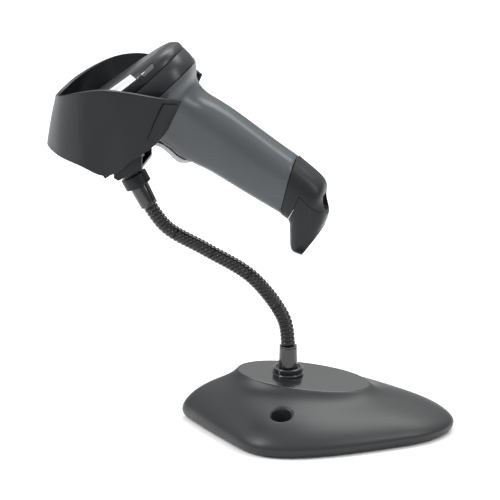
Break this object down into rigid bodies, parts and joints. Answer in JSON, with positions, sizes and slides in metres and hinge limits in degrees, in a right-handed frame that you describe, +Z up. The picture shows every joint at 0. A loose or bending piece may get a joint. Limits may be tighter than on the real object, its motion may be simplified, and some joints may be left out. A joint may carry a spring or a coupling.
{
  "type": "handheld barcode scanner",
  "caption": "Pistol-grip handheld code scanner standing head down in the cup of a weighted gooseneck desk stand, with a lift-out scanner and a sprung trigger.",
  "frame": {"origin": "on the floor plane, in the middle of the whole object's length and width", "axes": "+Z up, -X towards the cup and +X towards the scanner's grip, Y across; the plane y = 0 is the plane of symmetry"},
  "size_m": [0.2734, 0.154, 0.2564],
  "materials": {
    "base_plastic": "fine satin texture, dark grey",
    "weight_steel": "bare pressed steel",
    "pad_rubber": "matt black",
    "screw_steel": "zinc plated",
    "fitting_black": "glossy black plating",
    "conduit_black": "glossy black wound conduit",
    "cup_plastic": "satin near-black",
    "ear_pad": "satin near-black",
    "cover_plastic": "satin, dark grey",
    "grip_plastic": "satin, mid grey",
    "trigger_plastic": "satin, mid grey",
    "bezel_plastic": "satin black",
    "window_glass": "clear hard-coated pane",
    "side_lens": "smoked translucent plastic",
    "cap_plastic": "fine texture, black",
    "foot_plastic": "smooth matt black",
    "port_plastic": "black moulding",
    "board_green": "solder mask",
    "engine_metal": "black die casting",
    "optic_glass": "coated glass",
    "lamp_lens": "clear lens",
    "buzzer_plastic": "black moulding"
  },
  "bodies": {
    "base": {"base_shell": "base_plastic", "base_bottom_plate": "base_plastic", "base_weight": "weight_steel", "base_pad_1": "pad_rubber", "base_pad_2": "pad_rubber", "base_pad_3": "pad_rubber", "plate_screw_1": "screw_steel", "plate_screw_2": "screw_steel", "plate_screw_3": "screw_steel", "wing_nut": "screw_steel", "neck_stud": "screw_steel", "neck_socket_ring": "fitting_black", "lower_ferrule": "fitting_black", "neck_segment_0": "conduit_black"},
    "neck_1": {"neck_segment_1": "conduit_black"},
    "neck_2": {"neck_segment_2": "conduit_black"},
    "neck_3": {"neck_segment_3": "conduit_black"},
    "neck_4": {"neck_segment_4": "conduit_black"},
    "cup": {"neck_segment_5": "conduit_black", "upper_ferrule": "fitting_black", "upper_collar": "fitting_black", "cup_shell": "cup_plastic", "cup_bracket": "cup_plastic", "ear_pad_left": "ear_pad", "ear_pad_right": "ear_pad", "cup_screw_left": "screw_steel", "cup_screw_right": "screw_steel", "cup_magnet": "weight_steel"},
    "scanner": {"head_top_cover": "cover_plastic", "head_mid_housing": "cover_plastic", "side_lens_left": "side_lens", "side_lens_right": "side_lens", "nose_bezel": "bezel_plastic", "scan_window": "window_glass", "scan_engine": "engine_metal", "camera_lens": "optic_glass", "aimer_lens": "lamp_lens", "lamp_left": "lamp_lens", "lamp_right": "lamp_lens", "lamp_board_left": "board_green", "lamp_board_right": "board_green", "main_board": "board_green", "beeper": "buzzer_plastic", "grip_half_left": "grip_plastic", "grip_half_right": "grip_plastic", "trigger_pin": "screw_steel", "end_cap": "cap_plastic", "butt_foot": "foot_plastic", "cable_port": "port_plastic"},
    "trigger": {"trigger": "trigger_plastic"}
  },
  "joints": [
    {"name": "neck_bend_1", "type": "hinge", "parent": "base", "child": "neck_1", "pos_m": [0.02362, 0, 0.06792], "axis": [0, 1, 0], "range_deg": [-16, 16]},
    {"name": "neck_sway_1", "type": "hinge", "parent": "neck_1", "child": "neck_2", "pos_m": [0.00941, 0, 0.09139], "axis": [0.7486, 0, 0.663], "range_deg": [-18, 18]},
    {"name": "neck_bend_2", "type": "hinge", "parent": "neck_2", "child": "neck_3", "pos_m": [-0.01211, 0, 0.10846], "axis": [0, 1, 0], "range_deg": [-16, 16]},
    {"name": "neck_sway_2", "type": "hinge", "parent": "neck_3", "child": "neck_4", "pos_m": [-0.03681, 0, 0.1209], "axis": [0.4324, 0, 0.9017], "range_deg": [-18, 18]},
    {"name": "neck_bend_3", "type": "hinge", "parent": "neck_4", "child": "cup", "pos_m": [-0.06021, 0, 0.13523], "axis": [0, 1, 0], "range_deg": [-16, 16]},
    {"name": "scanner_lift", "type": "slide", "parent": "cup", "child": "scanner", "axis": [0.7314, 0, 0.682], "range_m": [0, 0.12]},
    {"name": "trigger_pull", "type": "hinge", "parent": "scanner", "child": "trigger", "pos_m": [-0.05816, 0, 0.19664], "axis": [0, -1, 0], "range_deg": [0, 4], "stiffness_Nm_per_rad": 0.3, "springref_deg": -2.86}
  ]
}
